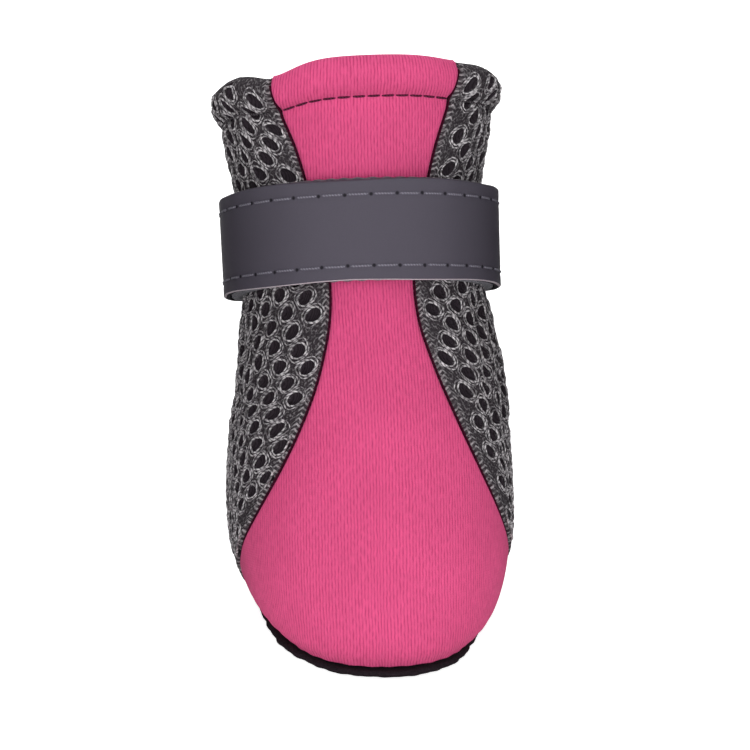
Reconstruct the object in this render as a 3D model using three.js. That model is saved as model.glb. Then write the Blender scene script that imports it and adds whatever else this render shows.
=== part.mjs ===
// A soft dog boot: a hollow mesh upper with a stretch front panel let into it, a thin grip sole,
// an insole and a hook-and-loop ankle strap. Millimetres, +Z up, toe towards -Y, standing on z = 0.
import * as THREE from "three";

const { clamp, degToRad, lerp, smoothstep } = THREE.MathUtils;

// Driving sizes
const soleLength = 60;
const ballWidth = 49.4;
const upperHeight = 95.5;
const soleThickness = 1.6;
const toeSpring = 1.5;
const seatGap = 0.3;

// Upper wall: spacer mesh at the sides and back, thinned to a lining under the front panel
const meshWall = 2.8;
const liningWall = 1.0;
const panelDrop = 0.4;
const seamStepTurn = 1.2;
const panelEdgeTurn = 0.8;
const seamDip = 1.5;
const seamDipSpread = 15;
const seamHeight = soleThickness + seatGap;

// Sole and insole
const soleLip = 0.5;
const insoleThickness = 1.5;
const springStart = 15;
const springFade = 22;

// Strap
const strapWidth = 17;
const strapRing = 9.4;
const strapLift = 1.35;
const backingThickness = 1.5;
const backingOverhang = 0.35;
const faceThickness = 1.1;
const faceFreeEnd = -118;
const faceSewnEnd = 150;

// Rings of the last, from the sole seam up to the collar. Each ring hangs between a point on the boot's
// front line and one on its back line. Reach is a share of the sole's length from its middle, rise a share
// of the upper's height above the sole, width a share of the ball width, and panelTurn the angle from the
// front, in degrees, at which the ring crosses the front panel's seam.
const rings = [
  { frontReach: 47.7, frontRise: 0.0, backReach: 49.0, backRise: 0.0, width: 76.9, panelTurn: 91 },
  { frontReach: 51.0, frontRise: 4.7, backReach: 52.7, backRise: 3.7, width: 89.1, panelTurn: 88 },
  { frontReach: 50.7, frontRise: 11.0, backReach: 55.0, backRise: 8.4, width: 96.4, panelTurn: 82 },
  { frontReach: 46.7, frontRise: 18.3, backReach: 56.7, backRise: 13.6, width: 99.6, panelTurn: 69 },
  { frontReach: 39.0, frontRise: 26.2, backReach: 58.0, backRise: 18.8, width: 100.0, panelTurn: 55 },
  { frontReach: 29.3, frontRise: 34.0, backReach: 59.0, backRise: 24.1, width: 98.8, panelTurn: 42 },
  { frontReach: 19.0, frontRise: 41.9, backReach: 60.0, backRise: 29.3, width: 96.4, panelTurn: 31 },
  { frontReach: 9.0, frontRise: 49.9, backReach: 61.0, backRise: 35.1, width: 92.3, panelTurn: 23 },
  { frontReach: 0.7, frontRise: 58.3, backReach: 62.7, backRise: 41.4, width: 86.6, panelTurn: 19 },
  { frontReach: -5.3, frontRise: 66.9, backReach: 64.7, backRise: 48.7, width: 82.0, panelTurn: 21 },
  { frontReach: -9.0, frontRise: 75.5, backReach: 67.3, backRise: 56.5, width: 83.0, panelTurn: 27 },
  { frontReach: -11.0, frontRise: 83.9, backReach: 70.7, backRise: 64.3, width: 88.7, panelTurn: 31 },
  { frontReach: -11.3, frontRise: 92.0, backReach: 74.3, backRise: 71.9, width: 94.5, panelTurn: 36 },
  { frontReach: -10.0, frontRise: 100.0, backReach: 77.3, backRise: 79.1, width: 99.0, panelTurn: 40 },
];
const fullness = 2.15;
const collarRing = rings.length - 1;

// The turned hem at the collar: how far the outside stands out, in millimetres, at each ring position
const hem = [
  { ring: 12.08, out: 0.0 },
  { ring: 12.24, out: -0.4 },
  { ring: 12.45, out: 0.7 },
  { ring: 12.85, out: 0.8 },
  { ring: 13.0, out: 0.2 },
];

// Levels of the outsole, from the middle of its underside round the edge to the middle of its top
const soleLevels = [
  { share: 0.3, inset: 0, height: 0 },
  { share: 0.62, inset: 0, height: 0 },
  { share: 0.84, inset: 0, height: 0 },
  { share: 1, inset: 1.0, height: 0 },
  { share: 1, inset: 0.2, height: 0.3 * soleThickness },
  { share: 1, inset: 0, height: 0.7 * soleThickness },
  { share: 1, inset: 0.4, height: soleThickness },
  { share: 0.84, inset: 0, height: soleThickness },
  { share: 0.5, inset: 0, height: soleThickness },
];
const insoleLevels = [
  { share: 0.5, inset: 0, height: seamHeight },
  { share: 0.84, inset: 0, height: seamHeight },
  { share: 1, inset: 0.3, height: seamHeight },
  { share: 1, inset: 0, height: seamHeight + insoleThickness / 2 },
  { share: 1, inset: 0.3, height: seamHeight + insoleThickness },
  { share: 0.84, inset: 0, height: seamHeight + insoleThickness },
  { share: 0.5, inset: 0, height: seamHeight + insoleThickness },
];

const panelColumns = 14;
const meshColumns = 28;
const strapColumns = 40;
const soleColumns = 44;

// The last: values of a ring at any position between the table's rows, on a smooth curve through them
function ringAt(position) {
  const start = clamp(Math.floor(position), 0, collarRing - 1);
  const t = position - start;
  const ring = {};
  for (const column of Object.keys(rings[0])) {
    const row = (i) => rings[i][column];
    const p1 = row(start);
    const p2 = row(start + 1);
    const p0 = start > 0 ? row(start - 1) : 2 * p1 - p2;
    const p3 = start + 2 <= collarRing ? row(start + 2) : 2 * p2 - p1;
    const bend = 2 * p0 - 5 * p1 + 4 * p2 - p3;
    const twist = 3 * p1 - p0 - 3 * p2 + p3;
    ring[column] = p1 + 0.5 * t * (p2 - p0 + t * (bend + t * twist));
  }
  return ring;
}

function toeLift(y) {
  const share = clamp((-y - springStart) / (soleLength / 2 - springStart), 0, 1);
  return toeSpring * share * share;
}

function rounded(c) {
  return Math.sign(c) * Math.abs(c) ** (2 / fullness);
}

// A point of the last's surface; turn is 0 at the front, positive towards +X, in radians
function lastPoint(position, turn) {
  const ring = ringAt(position);
  const along = (1 + rounded(Math.cos(turn))) / 2;
  const y = (lerp(ring.backReach, -ring.frontReach, along) / 100) * soleLength;
  const z = seamHeight + (lerp(ring.backRise, ring.frontRise, along) / 100) * upperHeight;
  const x = (ring.width / 200) * ballWidth * rounded(Math.sin(turn));
  const fade = 1 - smoothstep(z, seamHeight, seamHeight + springFade);
  return new THREE.Vector3(x, y, z + toeLift(y) * fade - collarDip(position, turn));
}

// The panel's seams hold the collar's edge down where they end
function collarDip(position, turn) {
  const away = Math.acos(Math.cos(turn)) - panelTurnAt(collarRing);
  const share = Math.exp(-((away / degToRad(seamDipSpread)) ** 2));
  return seamDip * share * smoothstep(position, hem[1].ring, collarRing);
}

// Outward direction of the last there; level at the sole seam, so that the wall stands flat on the sole
function lastNormal(position, turn) {
  const stepRing = 0.05;
  const stepTurn = 0.02;
  const low = Math.max(position - stepRing, 0);
  const high = Math.min(position + stepRing, collarRing);
  const up = lastPoint(high, turn).sub(lastPoint(low, turn));
  const round = lastPoint(position, turn + stepTurn).sub(lastPoint(position, turn - stepTurn));
  const normal = round.cross(up).normalize();
  normal.z *= smoothstep(position, 0, 1.5);
  return normal.normalize();
}

function skin(position, turn, out) {
  return lastPoint(position, turn).addScaledVector(lastNormal(position, turn), out);
}

function hemOut(position) {
  const next = hem.findIndex((row) => row.ring >= position);
  if (next <= 0) return 0;
  const low = hem[next - 1];
  const high = hem[next];
  return lerp(low.out, high.out, (position - low.ring) / (high.ring - low.ring));
}

function panelTurnAt(position) {
  return degToRad(ringAt(position).panelTurn);
}

// Closed geometry between an outer and an inner grid of points, with a rim round every open edge
function shellGeometry(outer, inner, closedRound) {
  const rows = outer.length;
  const columns = outer[0].length;
  const points = [...outer.flat(), ...inner.flat()];
  const index = [];
  const at = (row, column, side) => side * rows * columns + row * columns + (column % columns);
  const quad = (a, b, c, d) => index.push(a, b, c, a, c, d);
  const spans = closedRound ? columns : columns - 1;
  for (let column = 0; column < spans; column++) {
    for (let row = 0; row + 1 < rows; row++) {
      const corners = [[row, column], [row, column + 1], [row + 1, column + 1], [row + 1, column]];
      quad(...corners.map(([r, c]) => at(r, c, 0)));
      quad(...corners.reverse().map(([r, c]) => at(r, c, 1)));
    }
    const top = rows - 1;
    quad(at(0, column, 1), at(0, column + 1, 1), at(0, column + 1, 0), at(0, column, 0));
    quad(at(top, column, 0), at(top, column + 1, 0), at(top, column + 1, 1), at(top, column, 1));
  }
  if (!closedRound) {
    const end = columns - 1;
    for (let row = 0; row + 1 < rows; row++) {
      quad(at(row, 0, 1), at(row, 0, 0), at(row + 1, 0, 0), at(row + 1, 0, 1));
      quad(at(row, end, 0), at(row, end, 1), at(row + 1, end, 1), at(row + 1, end, 0));
    }
  }
  return geometryOf(points, index);
}

// Closed geometry through a stack of loops, with its first and last loops drawn in to a middle point
function stackGeometry(loops, firstMiddle, lastMiddle) {
  const columns = loops[0].length;
  const points = [...loops.flat(), firstMiddle, lastMiddle];
  const first = loops.length * columns;
  const index = [];
  for (let column = 0; column < columns; column++) {
    const next = (column + 1) % columns;
    index.push(first, next, column);
    for (let level = 0; level + 1 < loops.length; level++) {
      const low = level * columns;
      const high = low + columns;
      index.push(low + column, low + next, high + next, low + column, high + next, high + column);
    }
    const end = (loops.length - 1) * columns;
    index.push(first + 1, end + column, end + next);
  }
  return geometryOf(points, index);
}

function geometryOf(points, index) {
  const geometry = new THREE.BufferGeometry().setFromPoints(points);
  geometry.setIndex(index);
  geometry.computeVertexNormals();
  return geometry;
}

function ringPositions() {
  const whole = Array.from({ length: 2 * (collarRing - 1) + 1 }, (_, i) => i / 2);
  return [...whole, ...hem.map((row) => row.ring)];
}

// Columns of the upper: across the front panel's recess, over the seam step, then round the back
function upperColumns(position) {
  const seam = panelTurnAt(position);
  const step = degToRad(seamStepTurn);
  const columns = [];
  for (let i = 0; i <= panelColumns; i++) {
    columns.push({ turn: lerp(-seam, seam, i / panelColumns), recessed: true });
  }
  for (let i = 0; i <= meshColumns; i++) {
    columns.push({ turn: lerp(seam + step, 2 * Math.PI - seam - step, i / meshColumns), recessed: false });
  }
  return columns;
}

// The upper, open at the collar and underneath
function upperGeometry() {
  const outer = [];
  const inner = [];
  for (const position of ringPositions()) {
    const columns = upperColumns(position);
    outer.push(columns.map(({ turn, recessed }) =>
      skin(position, turn, recessed ? liningWall - meshWall : hemOut(position))));
    inner.push(columns.map(({ turn }) => skin(position, turn, -meshWall)));
  }
  return shellGeometry(outer, inner, true);
}

// The stretch front panel, from the toe up to the collar, lying in the upper's recess
function frontPanelGeometry() {
  const outer = [];
  const inner = [];
  for (const position of ringPositions()) {
    const half = panelTurnAt(position) - degToRad(panelEdgeTurn);
    const turns = Array.from({ length: panelColumns + 1 }, (_, i) => lerp(-half, half, i / panelColumns));
    outer.push(turns.map((turn) => skin(position, turn, hemOut(position) - panelDrop)));
    inner.push(turns.map((turn) => skin(position, turn, liningWall - meshWall + seatGap)));
  }
  return shellGeometry(outer, inner, false);
}

// A point of the strap: out from the waist, across the band's width along the shaft's own direction
function strapPoint(turn, across, out) {
  const run = lastPoint(strapRing + 1, turn).sub(lastPoint(strapRing - 1, turn)).normalize();
  return skin(strapRing, turn, strapLift + out).addScaledVector(run, across);
}

function strapGeometry(fromTurn, toTurn, width, fromOut, toOut) {
  const closedRound = toTurn - fromTurn >= 360;
  const count = closedRound ? strapColumns : strapColumns + 1;
  const turns = Array.from({ length: count }, (_, i) => degToRad(lerp(fromTurn, toTurn, i / strapColumns)));
  const grid = (out) =>
    [-0.5, 0, 0.5].map((share) => turns.map((turn) => strapPoint(turn, share * width, out)));
  return shellGeometry(grid(toOut), grid(fromOut), closedRound);
}

// A flat piece whose edge follows the last at the sole seam, out is how far it reaches past that line
function soleGeometry(levels, out) {
  const loops = levels.map(({ share, inset, height }) =>
    Array.from({ length: soleColumns }, (_, i) => {
      const edge = skin(0, (i / soleColumns) * 2 * Math.PI, out - inset);
      const y = edge.y * share;
      return new THREE.Vector3(edge.x * share, y, height + toeLift(y));
    }));
  const middle = (level) => new THREE.Vector3(0, 0, level.height);
  return stackGeometry(loops, middle(levels[0]), middle(levels[levels.length - 1]));
}

function piece(name, geometry, color, roughness) {
  const mesh = new THREE.Mesh(geometry, new THREE.MeshStandardMaterial({ color, roughness, metalness: 0 }));
  mesh.name = name;
  return mesh;
}

const faceInside = backingThickness + seatGap;
const boot = new THREE.Group();
boot.add(
  piece("outsole", soleGeometry(soleLevels, soleLip), "#1d171b", 0.85),
  piece("insole", soleGeometry(insoleLevels, -meshWall - seatGap), "#4a464b", 0.95),
  piece("upper", upperGeometry(), "#5d565b", 0.9),
  piece("front_panel", frontPanelGeometry(), "#d85180", 0.8),
  piece(
    "strap_backing",
    strapGeometry(-180, 180, strapWidth + 2 * backingOverhang, 0, backingThickness),
    "#8d8890",
    0.95,
  ),
  piece(
    "strap_face",
    strapGeometry(faceFreeEnd, faceSewnEnd, strapWidth, faceInside, faceInside + faceThickness),
    "#5a5660",
    0.55,
  ),
);

export default boot;
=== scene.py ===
import math

import bpy
import numpy as np
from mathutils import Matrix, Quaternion, Vector


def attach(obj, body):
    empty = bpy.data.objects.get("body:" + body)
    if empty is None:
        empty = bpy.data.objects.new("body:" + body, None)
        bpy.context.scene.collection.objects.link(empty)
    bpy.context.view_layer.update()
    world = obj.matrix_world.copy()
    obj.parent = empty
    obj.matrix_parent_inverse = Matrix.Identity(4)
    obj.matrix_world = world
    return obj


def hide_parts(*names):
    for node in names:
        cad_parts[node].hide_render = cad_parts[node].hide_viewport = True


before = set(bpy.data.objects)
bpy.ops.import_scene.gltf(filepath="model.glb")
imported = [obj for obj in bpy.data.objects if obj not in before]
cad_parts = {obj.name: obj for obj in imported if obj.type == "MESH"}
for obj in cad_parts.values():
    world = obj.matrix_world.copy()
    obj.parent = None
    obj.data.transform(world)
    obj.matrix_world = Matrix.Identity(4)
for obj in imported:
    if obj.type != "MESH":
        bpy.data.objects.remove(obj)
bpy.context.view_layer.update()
mm = 0.001  # sizes below are in millimetres, meshes in metres
rng = np.random.default_rng(25)

# the last: the solids' sizes and rings, toe towards -Y, with the lean and uneven collar of a slack boot
last = {
    "soleLength": 60,
    "ballWidth": 49.4,
    "upperHeight": 95.5,
    "seamHeight": 1.9,
    "toeSpring": 1.5,
    "springStart": 15,
    "springFade": 22,
    "fullness": 2.15,
    "seamDipLeft": 2.0,
    "seamDipRight": 0.5,
    "seamDipSpread": 15,
    "seamDipFrom": 11.1,
    "toeLean": -1.2,
    "toeTwist": -1.8,
    "toeSkew": 0.12,
    "leanFrom": 2,
    "leanTo": 7,
}
# a row for each ring, from the sole seam up to the collar:
# front reach, front rise, back reach, back rise, width, panel turn
rings = np.array([
    [47.7, 0.0, 49.0, 0.0, 76.9, 91],
    [51.0, 4.7, 52.7, 3.7, 89.1, 88],
    [50.7, 11.0, 55.0, 8.4, 96.4, 82],
    [46.7, 18.3, 56.7, 13.6, 99.6, 69],
    [39.0, 26.2, 58.0, 18.8, 100.0, 55],
    [29.3, 34.0, 59.0, 24.1, 98.8, 42],
    [19.0, 41.9, 60.0, 29.3, 96.4, 31],
    [9.0, 49.9, 61.0, 35.1, 92.3, 23],
    [0.7, 58.3, 62.7, 41.4, 86.6, 19],
    [-5.3, 66.9, 64.7, 48.7, 82.0, 21],
    [-9.0, 75.5, 67.3, 56.5, 83.0, 27],
    [-11.0, 83.9, 70.7, 64.3, 88.7, 31],
    [-11.3, 92.0, 74.3, 71.9, 94.5, 36],
    [-10.0, 100.0, 77.3, 79.1, 99.0, 40],
])
collarRing = len(rings) - 1

# soft creases, listed: where each lies, its run and width in mm, its tilt and its depth
creases = [
    {"ring": 7.3, "turn": 74, "run": 15, "width": 3.0, "tilt": -16, "depth": -0.75},
    {"ring": 6.4, "turn": 86, "run": 17, "width": 3.4, "tilt": -10, "depth": -0.55},
    {"ring": 7.4, "turn": -70, "run": 14, "width": 3.0, "tilt": 18, "depth": -0.7},
    {"ring": 6.2, "turn": -92, "run": 18, "width": 3.6, "tilt": 8, "depth": -0.6},
    {"ring": 6.6, "turn": 168, "run": 16, "width": 3.2, "tilt": 4, "depth": -0.7},
    {"ring": 5.2, "turn": -164, "run": 15, "width": 3.4, "tilt": -6, "depth": -0.5},
    {"ring": 3.4, "turn": -82, "run": 3.0, "width": 13, "tilt": 12, "depth": -0.45},
    {"ring": 11.2, "turn": 66, "run": 3.2, "width": 10, "tilt": -8, "depth": -0.55},
    {"ring": 11.3, "turn": -72, "run": 3.4, "width": 10, "tilt": 10, "depth": -0.6},
    {"ring": 11.2, "turn": 150, "run": 3.6, "width": 10, "tilt": 6, "depth": -0.5},
    {"ring": 7.5, "turn": 6, "run": 11, "width": 2.6, "tilt": 3, "depth": -0.35},
    {"ring": 7.0, "turn": 58, "run": 1.7, "width": 10, "tilt": -10, "depth": -0.9},
    {"ring": 6.6, "turn": 72, "run": 1.8, "width": 12, "tilt": -8, "depth": -1.0},
    {"ring": 6.8, "turn": -80, "run": 1.9, "width": 11, "tilt": 8, "depth": -0.7},
    {"ring": 6.9, "turn": 88, "run": 13, "width": 9, "tilt": 0, "depth": 1.4},
]
creaseRadius = 22  # mm of arc for a turn of one radian
creaseRise = 7.5  # mm for one ring


def smoothStep(x, low, high):
    t = np.clip((x - low) / (high - low), 0, 1)
    return t * t * (3 - 2 * t)


def ringAt(position):
    position = np.asarray(position, float)
    start = np.clip(np.floor(position).astype(int), 0, collarRing - 1)
    t = (position - start)[..., None]
    padded = np.vstack([2 * rings[0] - rings[1], rings, 2 * rings[-1] - rings[-2]])
    p0, p1, p2, p3 = (padded[start + i] for i in range(4))
    bend = 2 * p0 - 5 * p1 + 4 * p2 - p3
    twist = 3 * p1 - p0 - 3 * p2 + p3
    return p1 + 0.5 * t * (p2 - p0 + t * (bend + t * twist))


def toeLift(y):
    start = last["springStart"]
    share = np.clip((-y - start) / (last["soleLength"] / 2 - start), 0, 1)
    return last["toeSpring"] * share**2


def rounded(c):
    return np.sign(c) * np.abs(c) ** (2 / last["fullness"])


def collarDip(position, turn):  # the panel's seams hold the collar down where they end, the left one more
    away = np.arccos(np.clip(np.cos(turn), -1, 1)) - math.radians(rings[-1, 5])
    share = np.exp(-((away / math.radians(last["seamDipSpread"])) ** 2))
    depth = np.where(np.sin(turn) < 0, last["seamDipLeft"], last["seamDipRight"])
    return depth * share * smoothStep(position, last["seamDipFrom"], collarRing)


def lastPoint(position, turn):
    position, turn = np.broadcast_arrays(np.asarray(position, float), np.asarray(turn, float))
    frontReach, frontRise, backReach, backRise, width, _ = np.moveaxis(ringAt(position), -1, 0)
    lean = 1 - smoothStep(position, last["leanFrom"], last["leanTo"])
    turned = turn + math.radians(last["toeTwist"]) * lean * (1 + np.cos(turn)) / 2
    along = (1 + rounded(np.cos(turned))) / 2
    y = (backReach - (frontReach + backReach) * along) / 100 * last["soleLength"]
    z = last["seamHeight"] + (backRise + (frontRise - backRise) * along) / 100 * last["upperHeight"]
    x = width / 200 * last["ballWidth"] * rounded(np.sin(turned)) + last["toeLean"] * lean
    y = y - last["toeSkew"] * x * lean * along
    seam = last["seamHeight"]
    fade = 1 - smoothStep(z, seam, seam + last["springFade"])
    return np.stack([x, y, z + toeLift(y) * fade - collarDip(position, turn)], -1)


def unit(v):
    return v / np.maximum(np.linalg.norm(v, axis=-1, keepdims=True), 1e-9)


def evenTurns(count):  # even steps once round
    return np.arange(count) / count * 2 * math.pi


def lastRun(position, turn):  # direction up the boot
    low, high = np.maximum(position - 0.05, 0), np.minimum(position + 0.05, collarRing)
    return unit(lastPoint(high, turn) - lastPoint(low, turn))


def lastNormal(position, turn):
    position, turn = np.broadcast_arrays(np.asarray(position, float), np.asarray(turn, float))
    across = lastPoint(position, turn + 0.02) - lastPoint(position, turn - 0.02)
    normal = unit(np.cross(across, lastRun(position, turn)))
    normal[..., 2] *= smoothStep(position, 0, 1.5)  # level at the sole seam
    return unit(normal)


def drape(position, turn):
    total = np.zeros(np.broadcast(position, turn).shape)
    for crease in creases:
        swing = (turn - math.radians(crease["turn"]) + math.pi) % (2 * math.pi) - math.pi
        u, v = swing * creaseRadius, (position - crease["ring"]) * creaseRise
        tilt = math.radians(crease["tilt"])
        run = u * math.cos(tilt) + v * math.sin(tilt)
        side = v * math.cos(tilt) - u * math.sin(tilt)
        bell = np.exp(-((run / crease["run"]) ** 2) - (side / crease["width"]) ** 2)
        total = total + crease["depth"] * bell
    return total


def skin(position, turn, out):
    position, turn, out = np.broadcast_arrays(*(np.asarray(v, float) for v in (position, turn, out)))
    return lastPoint(position, turn) + lastNormal(position, turn) * (out + drape(position, turn))[..., None]


def seamTurn(position):
    return np.radians(ringAt(position)[..., 5])


# flat lengths on the last: round each ring from the front, and up each line from the middle ring
flatRings = np.linspace(0, collarRing, 261)
flatTurns = np.linspace(0, math.pi, 361)
flatPoints = lastPoint(flatRings[:, None], flatTurns[None, :])
arcSteps = np.linalg.norm(np.diff(flatPoints, axis=1), axis=-1)
riseSteps = np.linalg.norm(np.diff(flatPoints, axis=0), axis=-1)
arcTable = np.pad(np.cumsum(arcSteps, axis=1), ((0, 0), (1, 0)))
riseTable = np.pad(np.cumsum(riseSteps, axis=0), ((1, 0), (0, 0)))
riseTable = riseTable - riseTable[120]


def lookUp(table, position, turn):
    i = np.clip(position / flatRings[1], 0, len(flatRings) - 1.001)
    j = np.clip(turn / flatTurns[1], 0, len(flatTurns) - 1.001)
    i0, j0 = i.astype(int), j.astype(int)
    u, v = i - i0, j - j0
    low = table[i0, j0] * (1 - v) + table[i0, j0 + 1] * v
    high = table[i0 + 1, j0] * (1 - v) + table[i0 + 1, j0 + 1] * v
    return low * (1 - u) + high * u


def turnAtArc(position, arc):  # one ring, many arcs
    row = lookUp(arcTable, np.full(len(flatTurns), float(position)), flatTurns)
    return np.interp(arc, row, flatTurns)


def backFlat(position, turn):  # flat place on the mesh, measured from the middle of the back
    side = np.where(turn <= math.pi, 1.0, -1.0)
    half = np.where(turn <= math.pi, turn, 2 * math.pi - turn)
    across = lookUp(arcTable, position, np.full_like(half, math.pi)) - lookUp(arcTable, position, half)
    return side * across, lookUp(riseTable, position, half)


def arcSlope(position, half):  # mm round the ring for a radian of turn, 4 at least
    step = 0.01
    arc = lookUp(arcTable, position, half + step) - lookUp(arcTable, position, half - step)
    return np.maximum(arc / (2 * step), 4)


def riseSlope(position, half):  # mm up the boot for one ring, 3 at least
    step = 0.04
    climb = lookUp(riseTable, position + step, half) - lookUp(riseTable, position - step, half)
    return np.maximum(climb / (2 * step), 3)


def backSpot(across, rise):  # the ring position and turn of a flat place, found in eased steps
    position = np.full_like(across, 6.0)
    half = np.full_like(across, 2.4)
    ease = 0.8
    for _ in range(24):
        girth = lookUp(arcTable, position, np.full_like(half, math.pi))
        short = girth - lookUp(arcTable, position, half) - np.abs(across)
        half = np.clip(half + ease * short / arcSlope(position, half), 0.02, math.pi)
        below = rise - lookUp(riseTable, position, half)
        position = np.clip(position + ease * below / riseSlope(position, half), -0.5, collarRing + 0.5)
    return position, np.where(across >= 0, half, 2 * math.pi - half)


print("last ready: girth at the ball", round(2 * float(arcTable[80, -1]), 1), "mm")


# meshes
def makeMesh(name, points, faces, flat=None, values=None, materials=(), faceMaterials=None):
    mesh = bpy.data.meshes.new(name)
    points = np.asarray(points, float).reshape(-1, 3)
    mesh.from_pydata((points * mm).tolist(), [], [tuple(map(int, f)) for f in faces])
    loops = np.empty(len(mesh.loops), np.int32)
    mesh.loops.foreach_get("vertex_index", loops)
    if flat is not None:
        layer = mesh.uv_layers.new(name="flat")
        layer.data.foreach_set("uv", np.asarray(flat, np.float32).reshape(-1, 2)[loops].ravel())
    for key, numbers in (values or {}).items():
        layer = mesh.attributes.new(key, "FLOAT", "POINT")
        layer.data.foreach_set("value", np.asarray(numbers, np.float32).ravel())
    for material in materials:
        mesh.materials.append(material)
    if faceMaterials is not None:
        mesh.polygons.foreach_set("material_index", np.asarray(faceMaterials, np.int32))
    mesh.polygons.foreach_set("use_smooth", np.ones(len(mesh.polygons), bool))
    mesh.update()
    piece = bpy.data.objects.new(name, mesh)
    bpy.context.scene.collection.objects.link(piece)
    return piece


def loopFaces(rows, columns, closedRound):  # faces of a tube of rows closed on itself
    spans = columns if closedRound else columns - 1
    r, c = np.meshgrid(np.arange(rows), np.arange(spans), indexing="ij")
    r1, c1 = (r + 1) % rows, (c + 1) % columns
    quads = np.stack([r * columns + c, r * columns + c1, r1 * columns + c1, r1 * columns + c], -1)
    return quads.reshape(-1, 4)


def shell(name, outer, inner, closedRound=False, flat=None, values=None, materials=(), rowMaterials=None):
    loop = np.concatenate([outer, inner[::-1]])
    rows, columns = loop.shape[:2]
    faces = loopFaces(rows, columns, closedRound)
    picks = None
    if rowMaterials is not None:
        picks = np.repeat(np.asarray(rowMaterials), columns if closedRound else columns - 1)
    if not closedRound:  # quads across the thickness at both ends
        half = rows // 2
        i = np.arange(half - 1)
        start = np.stack([i, i + 1, rows - 2 - i, rows - 1 - i], -1) * columns
        end = start[:, ::-1] + columns - 1
        faces = np.concatenate([faces, start, end])
        if picks is not None:
            picks = np.concatenate([picks, np.full(2 * (half - 1), rowMaterials[-1])])
    return makeMesh(name, loop, faces, flat, values, materials, picks)


def tubes(name, centres, normals, radius, sides, closed, material):
    centres, normals = np.asarray(centres), unit(np.asarray(normals))
    count, steps = centres.shape[:2]
    if closed:
        tangent = np.roll(centres, -1, 1) - np.roll(centres, 1, 1)
    else:
        tangent = np.gradient(centres, axis=1)
    side = unit(np.cross(unit(tangent), normals))
    lift = unit(np.cross(side, unit(tangent)))
    angle = evenTurns(sides)
    radius = np.broadcast_to(radius, (count, steps))[..., None, None]
    ring = side[:, :, None] * np.cos(angle)[:, None] + lift[:, :, None] * np.sin(angle)[:, None]
    points = centres[:, :, None] + radius * ring
    spans = steps if closed else steps - 1
    s, k = np.meshgrid(np.arange(spans), np.arange(sides), indexing="ij")
    s1, k1 = (s + 1) % steps, (k + 1) % sides
    quads = np.stack([s * sides + k, s1 * sides + k, s1 * sides + k1, s * sides + k1], -1).reshape(-1, 4)
    base = (np.arange(count) * steps * sides)[:, None, None]
    faces = (quads[None] + base).reshape(-1, 4).tolist()
    if not closed:
        first = np.arange(sides)
        for start in base.ravel():
            faces.append((start + first).tolist())
            faces.append((start + (steps - 1) * sides + first[::-1]).tolist())
    length = np.linalg.norm(np.diff(centres, axis=1), axis=-1)
    along = np.pad(np.cumsum(length, axis=1), ((0, 0), (1, 0)))
    flat = np.stack(np.broadcast_arrays(along[:, :, None], (angle / (2 * math.pi))[None, None, :]), -1)
    return makeMesh(name, points, faces, flat, materials=(material,))


# shader helpers
def tone(r, g, b):  # a display colour as the shader wants it
    shares = [c / 255 for c in (r, g, b)]
    return (*(s / 12.92 if s < 0.0404 else ((s + 0.055) / 1.055) ** 2.4 for s in shares), 1.0)


def feed(tree, socket, value):  # link a socket, or give it a plain value
    if isinstance(value, bpy.types.NodeSocket):
        tree.links.new(value, socket)
    else:
        socket.default_value = value


def calc(tree, operation, *values):
    node = tree.nodes.new("ShaderNodeMath")
    node.operation = operation
    for socket, value in zip(node.inputs, values):
        feed(tree, socket, value)
    return node.outputs[0]


def ramp(tree, value, low, high, fromValue=0.0, toValue=1.0):
    node = tree.nodes.new("ShaderNodeMapRange")
    node.interpolation_type = "SMOOTHSTEP"
    tree.links.new(value, node.inputs["Value"])
    names = ("From Min", "From Max", "To Min", "To Max")
    for name, number in zip(names, (low, high, fromValue, toValue)):
        node.inputs[name].default_value = number
    return node.outputs["Result"]


def blendColour(tree, factor, first, second):
    node = tree.nodes.new("ShaderNodeMix")
    node.data_type = "RGBA"
    for index, value in ((0, factor), (6, first), (7, second)):  # the colour sockets of the node
        feed(tree, node.inputs[index], value)
    return node.outputs[2]


def flatMap(tree):
    node = tree.nodes.new("ShaderNodeUVMap")
    node.uv_map = "flat"
    return node.outputs["UV"]


def pointValue(tree, name):
    node = tree.nodes.new("ShaderNodeAttribute")
    node.attribute_name = name
    return node.outputs["Fac"]


def stretched(tree, vector, scale):
    node = tree.nodes.new("ShaderNodeMapping")
    tree.links.new(vector, node.inputs["Vector"])
    node.inputs["Scale"].default_value = scale
    return node.outputs["Vector"]


def noise(tree, vector, scale, detail=2.0, roughness=0.5):
    node = tree.nodes.new("ShaderNodeTexNoise")
    tree.links.new(vector, node.inputs["Vector"])
    node.inputs["Scale"].default_value = scale
    node.inputs["Detail"].default_value = detail
    node.inputs["Roughness"].default_value = roughness
    return node.outputs["Fac"]


def newGroup(name, inputs, outputs):
    group = bpy.data.node_groups.new(name, "ShaderNodeTree")
    for label, kind, value in inputs:
        socket = group.interface.new_socket(label, in_out="INPUT", socket_type=kind)
        if value is not None:
            socket.default_value = value
    for label, kind in outputs:
        group.interface.new_socket(label, in_out="OUTPUT", socket_type=kind)
    return group, group.nodes.new("NodeGroupInput").outputs, group.nodes.new("NodeGroupOutput").inputs


def place(tree, group, **values):
    node = tree.nodes.new("ShaderNodeGroup")
    node.node_tree = group
    for label, value in values.items():
        feed(tree, node.inputs[label], value)
    return node.outputs


def splitFlat(tree, vector):
    node = tree.nodes.new("ShaderNodeSeparateXYZ")
    tree.links.new(vector, node.inputs[0])
    return node.outputs["X"], node.outputs["Y"]


def objectSpot(tree):
    return tree.nodes.new("ShaderNodeTexCoord").outputs["Object"]


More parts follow.
